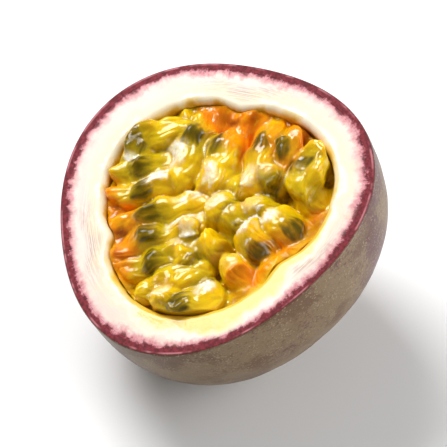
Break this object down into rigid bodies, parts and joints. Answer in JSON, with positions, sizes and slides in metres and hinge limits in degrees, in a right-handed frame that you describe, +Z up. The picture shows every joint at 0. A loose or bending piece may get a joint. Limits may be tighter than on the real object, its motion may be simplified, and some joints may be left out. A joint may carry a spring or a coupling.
{
  "type": "halved passion fruit",
  "caption": "Half a passion fruit, cut across: thin purple skin, thick white pith and a filling of juice sacs with seeds. Lies on a small flat spot, cut face leaning forward.",
  "frame": {"origin": "centre of the small flat spot that the half rests on", "axes": "+Z up, away from the surface it rests on; the cut face looks up and leans 20.5 degrees towards -Y"},
  "size_m": [0.058, 0.0587, 0.0445],
  "materials": {
    "skin": "leathery, faintly waxy, purple-brown with fine pale specks",
    "pith": "soft, matte, cream-white, magenta at its outer edge",
    "pulp": "wet, translucent, yellow to orange"
  },
  "bodies": {
    "root": {"skin": "skin", "pith": "pith", "pulp": "pulp"}
  },
  "joints": []
}
